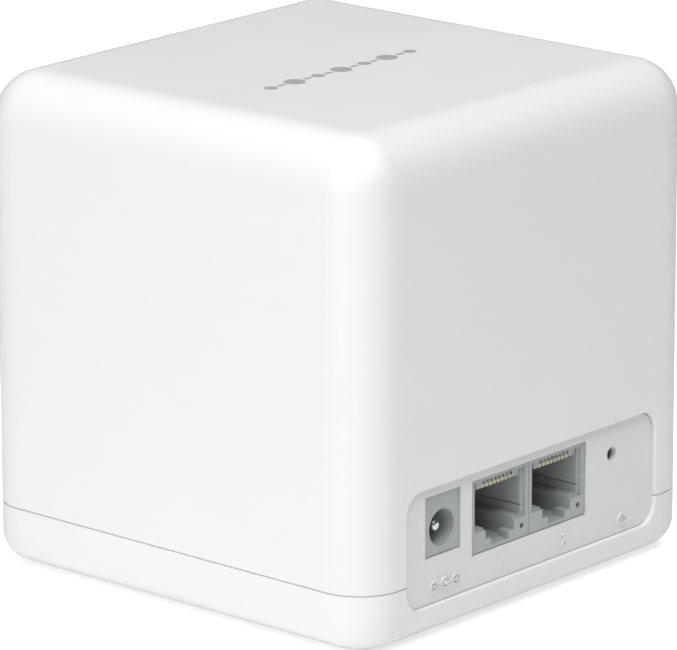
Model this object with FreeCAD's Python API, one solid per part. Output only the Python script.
import FreeCAD, Part
import os
from math import cos, radians, sin

# A cube-shaped mesh wifi node. Millimetres, +Z up, origin at the centre of the footprint.
# The rear panel with its sockets faces +Y, and the status light faces -Y.

# --- Housing: driving sizes -------------------------------------------------------------
body_width = 88.0
body_depth = 88.0
body_height = 88.0
edge_radius = 8.5            # upright edges and the top rim
base_edge_radius = 5.0       # rim of the underside
wall = 2.0
seam_height = 11.3
seam_gap = 0.12
lip_thickness = 1.0          # tongue of the base that stands inside the top housing
lip_rise = 2.0
lip_clearance = 0.15
floor_thickness = 2.0
foot_proud = 0.8             # how far the feet stand out under the base

# --- Feet, label, vents and housing screws ----------------------------------------------
corner_inset = 11.0          # screw and foot centres, in from the sides
foot_radius = 4.5
foot_recess_depth = 1.0
foot_clearance = 0.1
label_length = 34.0
label_width = 22.0
label_recess_depth = 0.2
label_thickness = 0.15
label_corner_radius = 1.0
vent_width = 1.6
vent_length = 12.0
vent_pitch = 4.0
vents_per_row = 8
vent_row_offset = 25.0
housing_screw_radius = 1.3
housing_screw_length = 14.0
housing_boss_radius = 3.0
housing_post_radius = 4.0
housing_post_drop = 3.0      # top of the base's corner posts below the seam
gusset_thickness = 1.2
boss_clearance = 0.15        # least space between a housing boss and the inlet

# --- Rear window and panel --------------------------------------------------------------
window_side_margin = 2.15    # from the end of the flat rear face to the window
window_bottom = 6.5
window_top = 27.05
window_radius = 3.7
window_edge_round = 0.2
panel_recess = 0.8
panel_clearance = 0.06
panel_top_gap = 0.2          # the clearance along the top edge, where it is widest
panel_edge_round = 0.1
panel_flange_margin = 1.5
panel_flange_thickness = 1.3
opening_clearance = 0.15
reset_hole_radius = 1.25
reset_hole_depth = 1.2       # the panel is thinner round the reset hole
reset_recess_radius = 2.2

# --- Main board -------------------------------------------------------------------------
board_underside = 25.2
board_thickness = 1.6
board_width = 58.0
board_front_gap = 14.0       # from the housing's front face to the board
board_rear_gap = 0.4         # from the back of the rear panel to the board
board_corner_radius = 2.0
board_post_radius = 3.0
board_post_side = 25.5       # screw centres either side of the middle
board_post_from_rear = 18.2
board_post_from_front = 4.5
board_screw_radius = 1.15
board_screw_length = 8.0
thread_clearance = 0.05
hole_clearance = 0.2
terminal_proud = 1.0         # how far solder tails stand above the board

# --- Power inlet ------------------------------------------------------------------------
inlet_gap = 3.12             # from LAN jack 1 to the inlet
inlet_width = 9.0
inlet_height = 10.5
inlet_length = 14.0
inlet_set_back = 1.2         # from the housing's rear face to the inlet's face
inlet_bore_radius = 3.2
inlet_bore_depth = 10.5
inlet_bore_drop = 6.0        # bore axis below the board
inlet_pin_radius = 1.0
inlet_pin_set_back = 1.0
inlet_pin_round = 0.6
inlet_spring_width = 2.2
inlet_spring_thickness = 0.4
terminal_thickness = 0.6
terminal_width = 2.4
inlet_spring_set_back = 2.2
inlet_spring_touch = 5.5     # from the inlet's face to the spring's lowest point
inlet_spring_sag = 0.65      # how far the spring stands into the bore
inlet_spring_bend = 0.6

# --- LAN jacks --------------------------------------------------------------------------
lan_pair_x = 0.33
lan_width = 15.2
lan_pair_gap = 0.12          # between the two jacks
lan_height = 12.9
lan_length = 18.0
lan_set_back = 1.1
lan_top_wall = 0.5
lan_bottom_wall = 0.6
lan_cavity_width = 12.0
lan_cavity_depth = 13.5
lan_mouth_flare = 0.7
lan_mouth_flare_depth = 0.6
lan_shoulder_height = 3.9    # plug ledge above the underside of the jack
lan_latch_step = 2.1         # lower, narrower part of the latch slot
lan_latch_width = 7.6
lan_latch_mouth_width = 4.6
lan_latch_tab_depth = 2.5
lan_groove = 0.3
lan_groove_above_shoulder = 1.5
lan_dimple_offset = 5.85
lan_dimple_height = 2.0
lan_dimple_radius = 0.5
lan_dimple_depth = 3.0
lan_peg_radius = 1.6
lan_peg_offset = 5.7
lan_peg_from_face = 9.0
lan_peg_proud = 0.4
carrier_width = 11.4
carrier_height = 1.4
carrier_length = 14.6
carrier_set_back = 0.6       # behind the jack's face
contact_count = 8
contact_pitch = 1.02
contact_width = 0.42
contact_thickness = 0.34
contact_slot = 0.62
contact_bend_radius = 0.65
contact_run_drop = 0.42      # the wires run this far below the top of the carrier
contact_slope = 16.0         # degrees that the free end falls below level
contact_free_length = 7.8
contact_play = 0.05
contact_tail_near = 14.0     # solder tails, in two staggered rows behind the face
contact_tail_far = 16.5
contact_tail_room = 0.6

# --- Reset switch -----------------------------------------------------------------------
reset_gap = 7.15             # from LAN jack 2 to the switch axis
reset_drop = 3.8             # switch axis below the board
switch_size = 6.0
switch_depth = 3.5
switch_cover_thickness = 0.3
switch_cavity_radius = 2.5
switch_cavity_depth = 1.7
plunger_radius = 1.75
plunger_clearance = 0.05
plunger_flange_radius = 2.2
plunger_flange_thickness = 0.7
plunger_tip_gap = 0.6        # from the plunger's tip to the back of the rear panel
plunger_reach = 3.7          # how far the plunger stands out of the cover
dome_thickness = 0.12
dome_radius = 2.2
switch_pin_width = 0.7
switch_frame_sheet = 0.4
switch_frame_lap = 1.0
plunger_tip_round = 0.3
dome_play = 0.03

# --- Board parts: (x, y) size and height; places are (x, distance in from the rear edge) ----
# x is from the middle of the board, unless a comment names another middle.
flash_size = (5.3, 5.3, 1.8)
flash_at = (0.0, 3.2)        # x from the middle of LAN jack 2
regulator_size = (3.0, 3.0, 1.0)
regulators_at = ((-2.25, 2.7), (2.25, 2.7))   # x from the middle of LAN jack 1
inductor_size = (5.0, 5.0, 2.8)
inductor_round = 0.8
inductor_core_radius = 1.6
inductors_at = ((-21.5, 12.0), (-21.5, 4.2), (20.3, 26.2))
capacitor_radius = 3.15
capacitor_height = 7.5
capacitor_round = 0.5
capacitors_at = ((-4.95, 3.7), (2.05, 3.7))   # x from the middle of the inlet
transformer_size = (15.2, 10.0, 6.0)
transformer_spacing = 17.6
transformer_from_rear = 21.2
transformer_lift = 0.2
transformer_round = 0.4
lead_count = 12
lead_reach = 0.9
lead_root = 0.3
lead_thickness = 0.35
led_size = (3.2, 1.6, 1.6)
led_lens_recess = 0.2
chip_mark_radius = 0.35
chip_mark_inset = 0.9
chip_mark_depth = 0.1
light_pipe_radius = 1.2
light_pipe_collar_radius = 2.0
light_pipe_collar_length = 1.2
light_pipe_clearance = 0.08
light_pipe_gap = 0.3

# --- Parts under and beside the shield: places are (x, y) from the shield's centre ----------
processor_size = (13.0, 13.0, 1.2)
processor_at = (-6.0, 0.0)
memory_size = (8.0, 13.0, 1.0)
memory_at = (8.0, 0.0)
crystal_size = (3.2, 2.5, 0.8)
crystal_at = (-17.9, -3.0)
crystal_round = 0.3
amplifier_size = (3.0, 3.0, 0.8)
amplifiers_at = ((-18.2, -9.5), (18.2, -9.5), (-18.2, 6.5), (18.2, 6.5))

# --- Shield, pads and heatsink ----------------------------------------------------------
shield_size = (31.0, 26.0)
shield_from_front = 22.0     # from the board's front edge to the shield's centre
shield_sheet = 0.3
shield_height = 2.6
shield_lid_skirt = 1.5
shield_clearance = 0.05
gap_pad_margin = 1.0
pad_size = (27.0, 22.0)
pad_thickness = 0.6
heatsink_size = (40.0, 36.0)
heatsink_base = 2.5
heatsink_fin_height = 9.0
heatsink_fin_thickness = 1.2
heatsink_fin_count = 9
heatsink_leg_radius = 2.2
heatsink_leg_inset = 2.6
heatsink_screw_radius = 1.0
heatsink_screw_length = 5.0

# --- Antennas: depths are from the shield's centre --------------------------------------
bracket_wall = 1.6
bracket_leg_outside = 24.6   # outer face of each leg from the middle
bracket_half_depth = 10.0
bracket_middle = 8.0
bracket_top_gap = 8.0        # from the housing's ceiling to the bracket
bracket_tab_radius = 3.0
bracket_window_depth = 10.0
bracket_window_length = 12.0
bracket_window_pitch = 15.0
antenna_thickness = 0.8
antenna_width = 16.0
antenna_length = 28.0
antenna_top_gap = 5.0        # from the bracket's top to the antenna
antenna_peg_radius = 1.0
antenna_peg_spacing = 20.0
antenna_peg_proud = 0.5
antenna_trace = 0.1
antenna_trace_width = 2.5
antenna_trace_inset = 3.0
antenna_feed_width = 1.5
solder_size = 1.6
coax_radius = 0.57
coax_x = 26.0
coax_offset = 6.0
coax_bend_radius = 4.0
coax_feed_height = 4.0       # from the antenna's lower edge to the solder joint
coax_connector_offset = -7.0
coax_connector_radius = 1.3
coax_connector_height = 1.8
coax_sleeve_wall = 0.1
coax_sleeve_reach = 0.4

# --- Screw heads ------------------------------------------------------------------------
head_ratio = 1.75            # head radius over shank radius
head_height_ratio = 1.1      # head height over shank radius
drive_ratio = 0.75           # recess radius over shank radius
drive_depth_ratio = 0.6      # recess depth over head height
drive_arm_ratio = 0.3        # recess arm width over shank radius
head_round_ratio = 0.45      # head edge rounding over head height
head_play_ratio = 0.1        # space over a sunk head, over its height

# --- Planes and centres that follow from the sizes above --------------------------------
half_width = body_width / 2
rear_face = body_depth / 2
front_face = -body_depth / 2
ceiling = body_height - wall
base_underside = foot_proud
floor_top = base_underside + floor_thickness
recess_top = base_underside + foot_recess_depth
base_top = seam_height - seam_gap / 2
shell_bottom = seam_height + seam_gap / 2
lip_inset = wall + lip_clearance
inner_inset = lip_inset + lip_thickness
lip_top = seam_height + lip_rise
post_top = seam_height - housing_post_drop
window_half_width = half_width - edge_radius - window_side_margin
panel_face = rear_face - panel_recess
panel_front = rear_face - wall - panel_clearance
panel_back = panel_front - panel_flange_thickness
board_top = board_underside + board_thickness
board_front = front_face + board_front_gap
board_rear = panel_back - board_rear_gap
board_post_front = board_front + board_post_from_front
board_post_rear = board_rear - board_post_from_rear
inlet_x = lan_pair_x + lan_width + inlet_gap + inlet_width / 2
corner_x = max(half_width - corner_inset,
               inlet_x + inlet_width / 2 + boss_clearance + housing_boss_radius)
corner_points = [(side * corner_x, end * (rear_face - corner_inset))
                 for side in (-1, 1) for end in (-1, 1)]
board_points = [(side * board_post_side, y)
                for side in (-1, 1) for y in (board_post_front, board_post_rear)]
head_seat = recess_top + (1 + head_play_ratio) * housing_screw_radius * head_height_ratio
lan_face = rear_face - lan_set_back
lan_underside = board_underside - lan_height
lan_ledge = lan_underside + lan_shoulder_height
lan_latch_floor = lan_ledge - lan_latch_step
carrier_front = lan_face - carrier_set_back
carrier_top = board_underside - lan_top_wall
carrier_underside = carrier_top - carrier_height
contact_run_z = carrier_top - contact_run_drop
inlet_face = rear_face - inlet_set_back
inlet_axis_z = board_underside - inlet_bore_drop
inlet_back = inlet_face - inlet_length
inlet_bore_end = inlet_face - inlet_bore_depth
inlet_spring_z = inlet_axis_z + inlet_bore_radius + inlet_spring_thickness
reset_x = lan_pair_x - lan_width - reset_gap
reset_z = board_underside - reset_drop
plunger_tip = panel_back - plunger_tip_gap
switch_cover_front = plunger_tip - plunger_reach
switch_front = switch_cover_front - switch_cover_thickness
switch_back = switch_front - switch_depth
shield_at = (0.0, board_front + shield_from_front)
shield_top = board_top + shield_height
lid_top = shield_top + shield_sheet
heatsink_underside = lid_top + pad_thickness
bracket_top = ceiling - bracket_top_gap
bracket_y = shield_at[1] + bracket_middle
antenna_top = bracket_top - antenna_top_gap
antenna_bottom = antenna_top - antenna_length
antenna_middle = (antenna_top + antenna_bottom) / 2
coax_y = shield_at[1] + coax_offset
coax_connector_y = shield_at[1] + coax_connector_offset
coax_top = antenna_bottom + coax_feed_height
coax_low = board_top + coax_connector_height - coax_radius - coax_sleeve_wall
led_z = board_top + led_size[2] / 2
tiny = 0.001

X = FreeCAD.Vector(1, 0, 0)
Y = FreeCAD.Vector(0, 1, 0)
Z = FreeCAD.Vector(0, 0, 1)


# --- Shape helpers ----------------------------------------------------------------------
def point(x, y, z):
    return FreeCAD.Vector(x, y, z)


def block(x, y, z):
    """A box between a low and a high value on each axis."""
    return Part.makeBox(x[1] - x[0], y[1] - y[0], z[1] - z[0], point(x[0], y[0], z[0]))


def centred_block(size, at, bottom):
    """A box of (x, y, z) size that stands on a height, centred on an (x, y) place."""
    corner = point(at[0] - size[0] / 2, at[1] - size[1] / 2, bottom)
    return Part.makeBox(size[0], size[1], size[2], corner)


def rod(start, end, radius):
    """A round rod from one point to another."""
    axis = end - start
    return Part.makeCylinder(radius, axis.Length, start, axis)


def upright_rod(at, bottom, top, radius):
    return rod(point(at[0], at[1], bottom), point(at[0], at[1], top), radius)


def is_upright(edge):
    box = edge.BoundBox
    return box.XLength < tiny and box.YLength < tiny


def at_height(edge, height):
    box = edge.BoundBox
    return abs(box.ZMin - height) < tiny and abs(box.ZMax - height) < tiny


def round_edges(shape, radius, wanted):
    """Fillet the edges that a test picks."""
    return shape.makeFillet(radius, [edge for edge in shape.Edges if wanted(edge)])


def join(shapes):
    """One solid from shapes that overlap or touch."""
    shapes = list(shapes)
    return shapes[0].fuse(shapes[1:]).removeSplitter()


def rounded_path(points, radius):
    """Straight runs joined by tangent arcs of one radius."""
    edges = []
    start = points[0]
    for index in range(1, len(points) - 1):
        corner = points[index]
        back = (points[index - 1] - corner).normalize()
        ahead = (points[index + 1] - corner).normalize()
        half_angle = back.getAngle(ahead) / 2
        middle = (back + ahead).normalize()
        trim = radius * cos(half_angle) / sin(half_angle)
        centre = corner + middle * (radius / sin(half_angle))
        arc_start = corner + back * trim
        arc_end = corner + ahead * trim
        edges.append(Part.LineSegment(start, arc_start).toShape())
        edges.append(Part.Arc(arc_start, centre - middle * radius, arc_end).toShape())
        start = arc_end
    edges.append(Part.LineSegment(start, points[-1]).toShape())
    return Part.Wire(edges)


def strip(path, thickness, x, width):
    """A flat strip that follows a path drawn in the plane X = 0, centred on x."""
    outline = path.makeOffset2D(thickness / 2, 0, True, False, True)
    solid = outline.extrude(X * width)
    solid.translate(X * (x - width / 2))
    return solid


def upright_screw(at, seat, shank_radius, length, into):
    """A pan-head screw on its seat; into is +1 where it points up and -1 where it points down."""
    head_height = shank_radius * head_height_ratio
    head_end = seat - into * head_height
    head = upright_rod(at, seat, head_end, shank_radius * head_ratio)
    head = round_edges(head, head_height * head_round_ratio,
                       lambda edge: at_height(edge, head_end))
    shank = upright_rod(at, seat, seat + into * length, shank_radius)
    low, high = sorted((head_end, head_end + into * head_height * drive_depth_ratio))
    reach = 2 * shank_radius * drive_ratio
    arm = shank_radius * drive_arm_ratio
    cross = [centred_block((reach, arm, high - low), at, low),
             centred_block((arm, reach, high - low), at, low)]
    return join([head, shank]).cut(cross)


def housing_blank(inset, bottom, top):
    """The housing's outline moved inwards, with rounded upright edges and a rounded top rim."""
    box = block((inset - half_width, half_width - inset), (front_face + inset, rear_face - inset),
                (bottom, top))
    return round_edges(box, edge_radius - inset,
                       lambda edge: is_upright(edge) or at_height(edge, top))


def housing_prism(inset, bottom, top):
    """The housing's outline moved inwards, with straight upright sides."""
    box = block((inset - half_width, half_width - inset), (front_face + inset, rear_face - inset),
                (bottom, top))
    return round_edges(box, edge_radius - inset, is_upright)


def window_prism(y, grow, top_limit=None):
    """The rear window's rounded outline, made larger by grow, between two depths."""
    top = window_top + grow
    x = (-window_half_width - grow, window_half_width + grow)
    box = block(x, y, (window_bottom - grow, top))
    prism = round_edges(box, window_radius + grow,
                        lambda edge: edge.BoundBox.YLength > (y[1] - y[0]) - tiny)
    if top_limit is None:
        return prism
    return prism.common(block((-body_width, body_width), (-body_depth, body_depth), (0, top_limit)))


# --- Housing ----------------------------------------------------------------------------
def on_window_rim(edge):
    """True for the window's edges on the housing's rear face, away from the seam."""
    box = edge.BoundBox
    on_face = abs(box.YMin - rear_face) < tiny and abs(box.YMax - rear_face) < tiny
    reach = window_half_width + tiny
    inside = -reach < box.XMin and box.XMax < reach
    return on_face and inside and window_bottom - tiny < box.ZMin and box.ZMax < window_top + tiny


def make_top_housing():
    shell = housing_blank(0, shell_bottom, body_height)
    shell = shell.cut(housing_blank(wall, shell_bottom - 1, ceiling))
    shell = shell.cut(window_prism((rear_face - 2 * wall, rear_face + 1), 0))
    shell = round_edges(shell, window_edge_round, on_window_rim)
    bosses = []
    for x, y in corner_points:
        bosses.append(upright_rod((x, y), post_top, ceiling + wall / 2, housing_boss_radius))
        outside = half_width - wall / 2 if x > 0 else wall / 2 - half_width
        reach = tuple(sorted((x, outside)))
        bosses.append(block(reach, (y - gusset_thickness / 2, y + gusset_thickness / 2),
                            (lip_top + 1, ceiling + wall / 2)))
    inside_skin = housing_blank(wall / 2, 0, ceiling + wall / 2)
    shell = join([shell] + [boss.common(inside_skin) for boss in bosses])
    pilot_radius = housing_screw_radius + thread_clearance
    pilot_top = head_seat + housing_screw_length + 1
    pilots = [upright_rod(at, post_top - 1, pilot_top, pilot_radius) for at in corner_points]
    light_hole = rod(point(0, front_face - 1, led_z), point(0, front_face + wall + 1, led_z),
                     light_pipe_radius + light_pipe_clearance)
    return shell.cut(pilots + [light_hole])


def vent_slots():
    """Two rows of slots through the floor, in front of and behind the label."""
    slots = []
    for row in (-1, 1):
        for index in range(vents_per_row):
            x = (index - (vents_per_row - 1) / 2) * vent_pitch
            y = row * vent_row_offset
            slot = centred_block((vent_width, vent_length, floor_thickness + 2), (x, y),
                                 base_underside - 1)
            slots.append(round_edges(slot, vent_width / 2 - 0.01, is_upright))
    return slots


def make_base_cover():
    tray = housing_prism(0, base_underside, base_top)
    tray = round_edges(tray, base_edge_radius, lambda edge: at_height(edge, base_underside))
    lip = housing_prism(lip_inset, base_top - 1, lip_top)
    cavity = housing_prism(inner_inset, floor_top, lip_top + 1)
    cover = join([tray, lip]).cut(cavity)
    flange = panel_flange_margin + panel_clearance
    pocket = window_prism((panel_back - panel_clearance - inner_inset, rear_face - wall), flange)
    above = block((-window_half_width - flange, window_half_width + flange),
                  (panel_back - panel_clearance - inner_inset, rear_face - wall),
                  (window_bottom + window_radius, lip_top + 1))
    cover = cover.cut([pocket, above])
    cover = cover.cut(window_prism((rear_face - 2 * wall, rear_face + 1), 0))
    cover = round_edges(cover, window_edge_round, on_window_rim)
    posts = [upright_rod(at, recess_top, post_top, housing_post_radius)
             for at in corner_points]
    posts += [upright_rod(at, floor_top - 1, board_underside, board_post_radius)
              for at in board_points]
    cover = join([cover] + posts)
    cuts = vent_slots()
    head_radius = housing_screw_radius * head_ratio + hole_clearance
    for at in corner_points:
        cuts.append(upright_rod(at, base_underside - 1, recess_top, foot_radius + foot_clearance))
        cuts.append(upright_rod(at, base_underside, head_seat, head_radius))
        cuts.append(upright_rod(at, base_underside, post_top + 1,
                                housing_screw_radius + hole_clearance))
    for at in board_points:
        cuts.append(upright_rod(at, board_underside - board_screw_length, board_underside + 1,
                                board_screw_radius + thread_clearance))
    cuts.append(centred_block((label_length + hole_clearance, label_width + hole_clearance,
                               label_recess_depth + 1), (0, 0), base_underside - 1))
    return cover.cut(cuts)


def make_foot(at):
    foot = upright_rod(at, 0, recess_top, foot_radius)
    return round_edges(foot, foot_proud / 2, lambda edge: at_height(edge, 0))


def make_rating_label():
    top = base_underside + label_recess_depth
    label = centred_block((label_length, label_width, label_thickness), (0, 0),
                          top - label_thickness)
    return round_edges(label, label_corner_radius, is_upright)


def make_housing_screws():
    return Part.makeCompound([upright_screw(at, head_seat, housing_screw_radius,
                                            housing_screw_length, 1) for at in corner_points])


def lan_centre(port):
    """Middle of port 1, towards +X, or of port 2."""
    return lan_pair_x + (lan_width / 2 if port == 1 else -lan_width / 2)


def make_rear_panel():
    plate = window_prism((panel_back, panel_face), -panel_clearance)
    plate = plate.common(plate.translated(Z * (panel_clearance - panel_top_gap)))
    plate = round_edges(plate, panel_edge_round,
                        lambda edge: abs(edge.BoundBox.YMin - panel_face) < tiny)
    flange = window_prism((panel_back, panel_front), panel_flange_margin)
    gap = opening_clearance
    through = (panel_back - 1, panel_face + 1)
    inlet = block((inlet_x - inlet_width / 2 - gap, inlet_x + inlet_width / 2 + gap), through,
                  (board_underside - inlet_height - gap, board_underside + gap))
    lan = block((lan_pair_x - lan_width - gap, lan_pair_x + lan_width + gap), through,
                (lan_underside - gap, board_underside + gap))
    reset = rod(point(reset_x, through[0], reset_z), point(reset_x, through[1], reset_z),
                reset_hole_radius)
    recess = rod(point(reset_x, panel_back - 1, reset_z),
                 point(reset_x, panel_face - reset_hole_depth, reset_z), reset_recess_radius)
    return join([plate, flange]).cut([inlet, lan, reset, recess])


def make_light_pipe():
    inner_end = board_front - light_pipe_gap
    pipe = rod(point(0, inner_end, led_z), point(0, front_face, led_z), light_pipe_radius)
    collar_back = front_face + wall + light_pipe_collar_length
    collar = rod(point(0, collar_back, led_z), point(0, front_face + wall, led_z),
                 light_pipe_collar_radius)
    return join([pipe, collar])


# --- Main board and what is soldered to it ----------------------------------------------
def tail_places(port):
    """The (x, y) places of one LAN jack's solder tails, in two staggered rows."""
    places = []
    for index in range(contact_count):
        x = lan_centre(port) + (index - (contact_count - 1) / 2) * contact_pitch
        behind = contact_tail_near if index % 2 else contact_tail_far
        places.append((x, lan_face - behind))
    return places


def peg_places(port):
    y = lan_face - lan_peg_from_face
    return [(lan_centre(port) + side * lan_peg_offset, y) for side in (-1, 1)]


def terminal_places():
    """Where the power inlet's two terminals come up through the board."""
    pin = (inlet_x, inlet_back - terminal_thickness / 2)
    spring = (inlet_x, inlet_bore_end - inlet_spring_thickness)
    return {"pin": pin, "spring": spring}


def switch_leg_places():
    """Where the reset switch's two pins come up through the board."""
    y = switch_back - switch_frame_sheet - switch_pin_width / 2
    return [(reset_x + side * switch_size / 4, y) for side in (-1, 1)]


def heatsink_leg_places():
    out_x = heatsink_size[0] / 2 - heatsink_leg_inset
    out_y = heatsink_size[1] / 2 - heatsink_leg_inset
    return [(shield_at[0] + side * out_x, shield_at[1] + side * out_y) for side in (-1, 1)]


def board_hole(at, radius):
    return upright_rod(at, board_underside - 1, board_top + 1, radius)


def make_main_board():
    board = block((-board_width / 2, board_width / 2), (board_front, board_rear),
                  (board_underside, board_top))
    board = round_edges(board, board_corner_radius, is_upright)
    holes = [board_hole(at, board_screw_radius + hole_clearance) for at in board_points]
    for port in (1, 2):
        holes += [board_hole(at, contact_width) for at in tail_places(port)]
        holes += [board_hole(at, lan_peg_radius + thread_clearance) for at in peg_places(port)]
    for at in terminal_places().values():
        size = (terminal_width + hole_clearance, terminal_thickness + hole_clearance,
                board_thickness + 2)
        holes.append(centred_block(size, at, board_underside - 1))
    holes += [board_hole(at, switch_pin_width / 2 + hole_clearance)
              for at in switch_leg_places()]
    holes += [board_hole(at, heatsink_screw_radius + hole_clearance)
              for at in heatsink_leg_places()]
    return board.cut(holes)


def make_board_screws():
    seat = board_top + bracket_wall
    return Part.makeCompound([upright_screw(at, seat, board_screw_radius, board_screw_length, -1)
                              for at in board_points])


def from_rear(at, middle=0.0):
    """A place given as (x from a middle, distance in from the board's rear edge)."""
    return (middle + at[0], board_rear - at[1])


def from_shield(at):
    """A place given from the shield's centre."""
    return (shield_at[0] + at[0], shield_at[1] + at[1])


def chip(size, at):
    """A moulded chip on the board, with a pin-one dimple."""
    body = centred_block(size, at, board_top)
    spot = point(at[0] - size[0] / 2 + chip_mark_inset, at[1] - size[1] / 2 + chip_mark_inset,
                 board_top + size[2] - chip_mark_depth)
    return body.cut(Part.makeCylinder(chip_mark_radius, 1, spot, Z))


def make_transformer(port):
    """A LAN transformer module with gull-wing leads along both long sides."""
    side_x = transformer_spacing / 2 if port == 1 else -transformer_spacing / 2
    at = from_rear((lan_pair_x + side_x, transformer_from_rear))
    length, depth, height = transformer_size
    body = centred_block((length, depth, height - transformer_lift), at,
                         board_top + transformer_lift)
    body = round_edges(body, transformer_round, lambda edge: at_height(edge, board_top + height))
    leads = []
    pitch = length / (lead_count + 1)
    for side in (-1, 1):
        edge_y = at[1] + side * depth / 2
        y = tuple(sorted((edge_y - side * lead_root, edge_y + side * lead_reach)))
        for index in range(lead_count):
            x = at[0] + (index - (lead_count - 1) / 2) * pitch
            leads.append(block((x - pitch / 4, x + pitch / 4), y,
                               (board_top, board_top + lead_thickness)))
    return join([body] + leads)


def make_inductor(at):
    body = centred_block(inductor_size, at, board_top)
    body = round_edges(body, inductor_round, is_upright)
    top = board_top + inductor_size[2]
    return body.cut(upright_rod(at, top - chip_mark_depth, top + 1, inductor_core_radius))


def make_capacitor(at):
    top = board_top + capacitor_height
    can = upright_rod(at, board_top, top, capacitor_radius)
    return round_edges(can, capacitor_round, lambda edge: at_height(edge, top))


def make_crystal():
    can = centred_block(crystal_size, from_shield(crystal_at), board_top)
    return round_edges(can, crystal_round, is_upright)


def make_status_led():
    at = (0, board_front + led_size[1] / 2)
    body = centred_block(led_size, at, board_top)
    lens = point(0, board_front, led_z)
    return body.cut(rod(lens - Y, lens + Y * led_lens_recess, light_pipe_radius / 2))


# --- Power inlet ------------------------------------------------------------------------
def make_inlet_housing():
    body = block((inlet_x - inlet_width / 2, inlet_x + inlet_width / 2), (inlet_back, inlet_face),
                 (board_underside - inlet_height, board_underside))
    bore = rod(point(inlet_x, inlet_face + 1, inlet_axis_z),
               point(inlet_x, inlet_bore_end, inlet_axis_z), inlet_bore_radius)
    pin_hole = rod(point(inlet_x, inlet_face, inlet_axis_z),
                   point(inlet_x, inlet_back - 1, inlet_axis_z),
                   inlet_pin_radius + thread_clearance)
    half_slot = inlet_spring_width / 2 + hole_clearance
    spring_low = inlet_axis_z + inlet_bore_radius / 2
    spring_slot = block((inlet_x - half_slot, inlet_x + half_slot),
                        (inlet_bore_end, inlet_face - inlet_spring_set_back + hole_clearance),
                        (spring_low, inlet_spring_z + inlet_spring_thickness / 2))
    tail_y = terminal_places()["spring"][1]
    half_tail = terminal_width / 2 + hole_clearance
    tail_slot = block((inlet_x - half_tail, inlet_x + half_tail),
                      (tail_y - inlet_spring_thickness / 2, inlet_bore_end + tiny),
                      (spring_low, board_underside + 1))
    return body.cut([bore, pin_hole, spring_slot, tail_slot])


def make_inlet_pin():
    start = point(inlet_x, inlet_face - inlet_pin_set_back, inlet_axis_z)
    end = point(inlet_x, inlet_back, inlet_axis_z)
    pin = rod(start, end, inlet_pin_radius)
    pin = round_edges(pin, inlet_pin_round,
                      lambda edge: abs(edge.BoundBox.YMin - start.y) < tiny)
    tail = centred_block((terminal_width, terminal_thickness,
                          board_top + terminal_proud - inlet_axis_z + inlet_pin_radius),
                         terminal_places()["pin"], inlet_axis_z - inlet_pin_radius)
    return join([pin, tail])


def make_inlet_spring():
    """A bowed leaf along the top of the bore, with its solder tail."""
    tail_x, tail_y = terminal_places()["spring"]
    low = inlet_axis_z + inlet_bore_radius - inlet_spring_sag
    corners = [(inlet_face - inlet_spring_set_back, inlet_spring_z),
               (inlet_face - inlet_spring_touch, low),
               (tail_y, inlet_spring_z),
               (tail_y, board_underside)]
    path = rounded_path([point(0, y, z) for y, z in corners], inlet_spring_bend)
    leaf = strip(path, inlet_spring_thickness, inlet_x, inlet_spring_width)
    tail = centred_block((terminal_width, inlet_spring_thickness,
                          board_top + terminal_proud - inlet_spring_z - inlet_spring_bend),
                         (tail_x, tail_y), inlet_spring_z + inlet_spring_bend)
    return join([leaf, tail])


# --- LAN jacks --------------------------------------------------------------------------
def make_lan_housing(port):
    centre = lan_centre(port)
    back = lan_face - lan_length

    def span(width):
        return (centre - width / 2, centre + width / 2)

    deep = (lan_face - lan_cavity_depth, lan_face + 1)
    body = block(span(lan_width - lan_pair_gap), (back, lan_face),
                 (lan_underside, board_underside))
    cavity = block(span(lan_cavity_width), deep, (lan_ledge, carrier_top))
    flare_width = lan_cavity_width + 2 * lan_mouth_flare
    mouth = block(span(flare_width), (lan_face - lan_mouth_flare_depth, lan_face + 1),
                  (lan_ledge - lan_mouth_flare / 2, carrier_top))
    latch = block(span(lan_latch_width), deep, (lan_latch_floor, lan_ledge))
    latch_mouth = block(span(lan_latch_mouth_width), deep,
                        (lan_underside + lan_bottom_wall, lan_ledge))
    latch_room = block(span(lan_latch_width), (deep[0], lan_face - lan_latch_tab_depth),
                       (lan_underside + lan_bottom_wall, lan_ledge))
    groove_z = lan_ledge + lan_groove_above_shoulder
    groove = block(span(lan_cavity_width + 2 * lan_groove), deep,
                   (groove_z, groove_z + lan_groove))
    carrier_room = block(span(carrier_width), (carrier_front - carrier_length, lan_face),
                         (carrier_underside, carrier_top))
    dimple_at = point(centre - lan_dimple_offset, lan_face, lan_underside + lan_dimple_height)
    dimple = rod(dimple_at + Y, dimple_at - Y * lan_dimple_depth, lan_dimple_radius)
    tail_room = block(span(contact_count * contact_pitch + contact_width),
                      (lan_face - contact_tail_far - contact_tail_room,
                       lan_face - contact_tail_near + contact_tail_room),
                      (carrier_underside, board_underside + 1))
    pegs = [upright_rod(at, board_underside - tiny, board_top + lan_peg_proud, lan_peg_radius)
            for at in peg_places(port)]
    body = body.cut([cavity, mouth, latch, latch_mouth, latch_room, groove, carrier_room,
                     dimple, tail_room])
    return join([body] + pegs)


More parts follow.
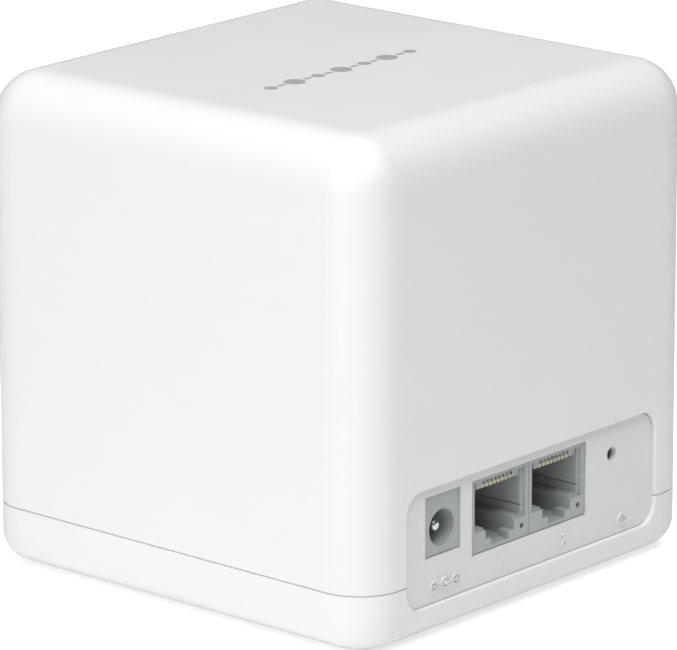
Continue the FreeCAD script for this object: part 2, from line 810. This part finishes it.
def make_lan_carrier(port):
    centre = lan_centre(port)
    x = (centre - carrier_width / 2, centre + carrier_width / 2)
    y = (carrier_front - carrier_length, carrier_front)
    bar = block(x, y, (carrier_underside, carrier_top))
    slots = []
    for index in range(contact_count):
        middle = centre + (index - (contact_count - 1) / 2) * contact_pitch
        slots.append(block((middle - contact_slot / 2, middle + contact_slot / 2),
                           (y[0] - 1, y[1] + 1),
                           (carrier_underside - 1,
                            contact_run_z + contact_thickness / 2 + contact_play)))
    tails = block((centre - contact_count * contact_pitch / 2 - contact_width / 2,
                   centre + contact_count * contact_pitch / 2 + contact_width / 2),
                  (y[0] - 1, lan_face - contact_tail_near + contact_tail_room),
                  (carrier_underside - 1, carrier_top + 1))
    return bar.cut(slots + [tails])


def make_lan_contacts(port):
    """Eight wires: a solder tail, a run under the carrier, a hairpin and a sprung free end."""
    front = carrier_front - contact_thickness / 2 - contact_play
    bend_y = front - contact_bend_radius
    bend_z = contact_run_z - contact_bend_radius
    slope = radians(contact_slope)
    leave = point(0, bend_y + contact_bend_radius * sin(slope),
                  bend_z - contact_bend_radius * cos(slope))
    tip = leave + point(0, -cos(slope), -sin(slope)) * contact_free_length
    hairpin = Part.Arc(point(0, bend_y, contact_run_z), point(0, front, bend_z), leave).toShape()
    free_end = Part.LineSegment(leave, tip).toShape()
    wires = []
    for x, tail_y in tail_places(port):
        tail = rounded_path([point(0, tail_y, board_top + terminal_proud),
                             point(0, tail_y, contact_run_z), point(0, bend_y, contact_run_z)],
                            contact_bend_radius)
        path = Part.Wire(tail.Edges + [hairpin, free_end])
        wires.append(strip(path, contact_thickness, x, contact_width))
    return Part.makeCompound(wires)


# --- Reset switch -----------------------------------------------------------------------
def make_switch_body():
    half = switch_size / 2
    body = block((reset_x - half, reset_x + half), (switch_back, switch_front),
                 (reset_z - half, reset_z + half))
    cavity = rod(point(reset_x, switch_front + 1, reset_z),
                 point(reset_x, switch_front - switch_cavity_depth, reset_z),
                 switch_cavity_radius)
    return body.cut(cavity)


def make_switch_cover():
    """Steel sheet: a plate with the plunger's hole, and two legs up into the board."""
    half = switch_size / 2
    plate = block((reset_x - half, reset_x + half), (switch_front, switch_cover_front),
                  (reset_z - half, board_underside))
    hole = rod(point(reset_x, switch_front - 1, reset_z),
               point(reset_x, switch_cover_front + 1, reset_z),
               plunger_radius + plunger_clearance)
    sides = []
    for side in (-1, 1):
        x = tuple(sorted((reset_x + side * half, reset_x + side * (half + switch_frame_sheet))))
        sides.append(block(x, (switch_back - switch_frame_sheet, switch_cover_front),
                           (reset_z - half, board_underside)))
    back = block((reset_x - half, reset_x + half), (switch_back - switch_frame_sheet, switch_back),
                 (reset_z + half - switch_frame_lap, board_underside))
    return join([plate.cut(hole)] + sides + [back])


def make_switch_pins():
    """Two contact pins from the back of the switch up through the board."""
    pins = []
    for x, y in switch_leg_places():
        half = switch_pin_width / 2
        foot = block((x - half, x + half), (y - half, switch_back),
                     (reset_z - half, reset_z + half))
        leg = block((x - half, x + half), (y - half, y + half),
                    (reset_z - half, board_top + terminal_proud))
        pins.append(join([foot, leg]))
    return Part.makeCompound(pins)


def make_plunger():
    cavity_front = switch_front - plunger_clearance
    stem = rod(point(reset_x, cavity_front - plunger_flange_thickness, reset_z),
               point(reset_x, plunger_tip, reset_z), plunger_radius)
    stem = round_edges(stem, plunger_tip_round, lambda edge: abs(edge.BoundBox.YMin - plunger_tip) < tiny)
    flange = rod(point(reset_x, cavity_front - plunger_flange_thickness, reset_z),
                 point(reset_x, cavity_front, reset_z), plunger_flange_radius)
    return join([stem, flange])


def make_dome():
    """A thin snap dome whose crown just meets the plunger."""
    floor_y = switch_front - switch_cavity_depth
    crown_y = switch_front - plunger_clearance - plunger_flange_thickness - dome_play
    rise = crown_y - floor_y
    ball_radius = (dome_radius ** 2 + rise ** 2) / (2 * rise)
    centre = point(reset_x, crown_y - ball_radius, reset_z)
    outer = Part.makeSphere(ball_radius, centre)
    inner = Part.makeSphere(ball_radius - dome_thickness, centre)
    reach = switch_cavity_radius
    keep = block((reset_x - reach, reset_x + reach), (floor_y, crown_y + 1),
                 (reset_z - reach, reset_z + reach))
    return outer.cut(inner).common(keep)


# --- Shield and heatsink ----------------------------------------------------------------
def ring(size, at, sheet, bottom, height):
    outer = centred_block((size[0], size[1], height), at, bottom)
    inner = centred_block((size[0] - 2 * sheet, size[1] - 2 * sheet, height), at, bottom)
    return outer.cut(inner)


def make_shield_frame():
    return ring(shield_size, shield_at, shield_sheet, board_top, shield_height)


def make_shield_lid():
    outside = tuple(side + 2 * (shield_sheet + shield_clearance) for side in shield_size)
    top = centred_block((outside[0], outside[1], shield_sheet), shield_at, shield_top)
    skirt = ring(outside, shield_at, shield_sheet, shield_top - shield_lid_skirt,
                 shield_lid_skirt)
    return join([top, skirt])


def make_gap_pad():
    bottom = board_top + processor_size[2]
    return centred_block((processor_size[0] - gap_pad_margin, processor_size[1] - gap_pad_margin,
                          shield_top - bottom), from_shield(processor_at), bottom)


def make_thermal_pad():
    return centred_block((pad_size[0], pad_size[1], pad_thickness), shield_at, lid_top)


def make_heatsink():
    plate = centred_block((heatsink_size[0], heatsink_size[1], heatsink_base), shield_at,
                          heatsink_underside)
    fins = []
    gap = (heatsink_size[0] - heatsink_fin_thickness) / (heatsink_fin_count - 1)
    fin = (heatsink_fin_thickness, heatsink_size[1], heatsink_base + heatsink_fin_height)
    for index in range(heatsink_fin_count):
        x = shield_at[0] + (index - (heatsink_fin_count - 1) / 2) * gap
        fins.append(centred_block(fin, (x, shield_at[1]), heatsink_underside))
    legs = [upright_rod(at, board_top, heatsink_underside + tiny, heatsink_leg_radius)
            for at in heatsink_leg_places()]
    thread_top = board_underside + heatsink_screw_length + hole_clearance
    threads = [upright_rod(at, board_top - 1, thread_top, heatsink_screw_radius + thread_clearance)
               for at in heatsink_leg_places()]
    return join([plate] + fins + legs).cut(threads)


def make_heatsink_screws():
    return Part.makeCompound([upright_screw(at, board_underside, heatsink_screw_radius,
                                            heatsink_screw_length, 1)
                              for at in heatsink_leg_places()])


# --- Antennas ---------------------------------------------------------------------------
def antenna_peg_heights():
    return (antenna_middle - antenna_peg_spacing / 2, antenna_middle + antenna_peg_spacing / 2)


def to_side(side, low, high):
    """An X range mirrored to one side."""
    return tuple(sorted((side * low, side * high)))


def make_antenna_bracket():
    """A moulded bridge: two legs with feet under the board screws, and a top plate."""
    inside = bracket_leg_outside - bracket_wall
    y = (bracket_y - bracket_half_depth, bracket_y + bracket_half_depth)
    window_y = (bracket_y - bracket_window_depth / 2, bracket_y + bracket_window_depth / 2)
    window_z = (antenna_middle - bracket_window_length / 2,
                antenna_middle + bracket_window_length / 2)
    foot_z = (board_top, board_top + bracket_wall)
    pieces = []
    for side in (-1, 1):
        x = to_side(side, inside, bracket_leg_outside)
        leg = block(x, y, (board_top, bracket_top))
        pieces.append(leg.cut(block((x[0] - 1, x[1] + 1), window_y, window_z)))
        pieces.append(block(x, (board_post_front, board_post_rear), foot_z))
        for post_y in (board_post_front, board_post_rear):
            pieces.append(upright_rod((side * board_post_side, post_y), *foot_z,
                                      bracket_tab_radius))
        peg_end = bracket_leg_outside + antenna_thickness + antenna_peg_proud
        for z in antenna_peg_heights():
            pieces.append(rod(point(side * inside, bracket_y, z),
                              point(side * peg_end, bracket_y, z), antenna_peg_radius))
    bridge = block((-bracket_leg_outside, bracket_leg_outside), y,
                   (bracket_top - bracket_wall, bracket_top))
    window = (bracket_window_length, bracket_window_depth, bracket_wall + 2)
    windows = [centred_block(window, (step * bracket_window_pitch, bracket_y),
                             bracket_top - bracket_wall - 1) for step in (-1, 0, 1)]
    pieces.append(bridge.cut(windows))
    holes = [upright_rod(at, board_top - 1, board_top + bracket_wall + 1,
                         board_screw_radius + hole_clearance) for at in board_points]
    return join(pieces).cut(holes)


def make_antenna(side):
    """A small board with a raised copper trace, held on two pegs of the bracket."""
    face = bracket_leg_outside + antenna_thickness
    low_y = bracket_y - antenna_width / 2
    high_y = bracket_y + antenna_width / 2
    trace_x = to_side(side, face - tiny, face + antenna_trace)
    top = antenna_top - antenna_trace_inset
    bottom = antenna_bottom + antenna_trace_inset
    feed_y = (coax_y - antenna_feed_width / 2, coax_y + antenna_feed_width / 2)
    arm_y = (high_y - antenna_trace_inset - antenna_trace_width, high_y - antenna_trace_inset)
    plate = block(to_side(side, bracket_leg_outside, face), (low_y, high_y),
                  (antenna_bottom, antenna_top))
    copper = [block(trace_x, arm_y, (bottom, top)),
              block(trace_x, (feed_y[0], arm_y[1]), (top - antenna_trace_width, top)),
              block(trace_x, feed_y, (coax_top, top))]
    solder = block(to_side(side, face - tiny, coax_x + coax_radius),
                   (coax_y - solder_size / 2, coax_y + solder_size / 2),
                   (coax_top, coax_top + solder_size))
    holes = [rod(point(side * (bracket_leg_outside - 1), bracket_y, z),
                 point(side * (face + 1), bracket_y, z), antenna_peg_radius + thread_clearance)
             for z in antenna_peg_heights()]
    return join([plate, solder] + copper).cut(holes)


def make_coax_connector(side):
    at = (side * coax_x, coax_connector_y)
    cup = upright_rod(at, board_top, board_top + coax_connector_height, coax_connector_radius)
    sleeve = rod(point(at[0], at[1], coax_low),
                 point(at[0], at[1] + coax_connector_radius + coax_sleeve_reach, coax_low),
                 coax_radius + coax_sleeve_wall)
    return join([cup, sleeve])


def make_antenna_cable(side):
    """Thin coaxial lead, straight down the antenna and forward to its connector."""
    x = side * coax_x
    end_y = coax_connector_y + coax_connector_radius + coax_sleeve_reach
    path = rounded_path([point(x, coax_y, coax_top), point(x, coax_y, coax_low),
                         point(x, end_y, coax_low)], coax_bend_radius)
    profile = Part.Wire(Part.makeCircle(coax_radius, point(x, coax_y, coax_top), Z))
    return path.makePipeShell([profile], True, False)


# --- Every node of the assembly ---------------------------------------------------------
def group(make, places):
    """Several separate solids of one kind, in one node."""
    return Part.makeCompound([make(place) for place in places])


foot_names = ("foot_left_front", "foot_left_rear", "foot_right_front", "foot_right_rear")
rear_regulators = [from_rear(place, lan_centre(1)) for place in regulators_at]
inlet_capacitors = [from_rear(place, inlet_x) for place in capacitors_at]
shield_amplifiers = [from_shield(place) for place in amplifiers_at]
nodes = {
    "top_housing": make_top_housing(),
    "base_cover": make_base_cover(),
    "rear_panel": make_rear_panel(),
    "rating_label": make_rating_label(),
    "light_pipe": make_light_pipe(),
    "housing_screws": make_housing_screws(),
    "main_board": make_main_board(),
    "board_screws": make_board_screws(),
    "processor": chip(processor_size, from_shield(processor_at)),
    "memory_chip": chip(memory_size, from_shield(memory_at)),
    "flash_chip": chip(flash_size, from_rear(flash_at, lan_centre(2))),
    "crystal": make_crystal(),
    "regulator_chips": group(lambda at: chip(regulator_size, at), rear_regulators),
    "radio_amplifiers": group(lambda at: chip(amplifier_size, at), shield_amplifiers),
    "power_inductors": group(make_inductor, [from_rear(place) for place in inductors_at]),
    "input_capacitors": group(make_capacitor, inlet_capacitors),
    "status_led": make_status_led(),
    "power_inlet_housing": make_inlet_housing(),
    "power_inlet_pin": make_inlet_pin(),
    "power_inlet_spring": make_inlet_spring(),
    "reset_switch_body": make_switch_body(),
    "reset_switch_cover": make_switch_cover(),
    "reset_switch_pins": make_switch_pins(),
    "reset_plunger": make_plunger(),
    "reset_dome": make_dome(),
    "shield_frame": make_shield_frame(),
    "shield_lid": make_shield_lid(),
    "gap_pad": make_gap_pad(),
    "thermal_pad": make_thermal_pad(),
    "heatsink": make_heatsink(),
    "heatsink_screws": make_heatsink_screws(),
    "antenna_bracket": make_antenna_bracket(),
}
for foot_name, foot_at in zip(foot_names, corner_points):
    nodes[foot_name] = make_foot(foot_at)
for jack in (1, 2):
    nodes[f"lan_jack_{jack}_housing"] = make_lan_housing(jack)
    nodes[f"lan_jack_{jack}_carrier"] = make_lan_carrier(jack)
    nodes[f"lan_jack_{jack}_contacts"] = make_lan_contacts(jack)
    nodes[f"lan_transformer_{jack}"] = make_transformer(jack)
for label, hand in (("left", -1), ("right", 1)):
    nodes[f"antenna_{label}"] = make_antenna(hand)
    nodes[f"antenna_cable_{label}"] = make_antenna_cable(hand)
    nodes[f"coax_connector_{label}"] = make_coax_connector(hand)

os.makedirs("parts", exist_ok=True)
for name, shape in nodes.items():
    shape.exportStep(f"parts/{name}.step")
    print(f"{name}: {len(shape.Solids)} solid(s), {shape.Volume:.1f} mm3, valid {shape.isValid()}")
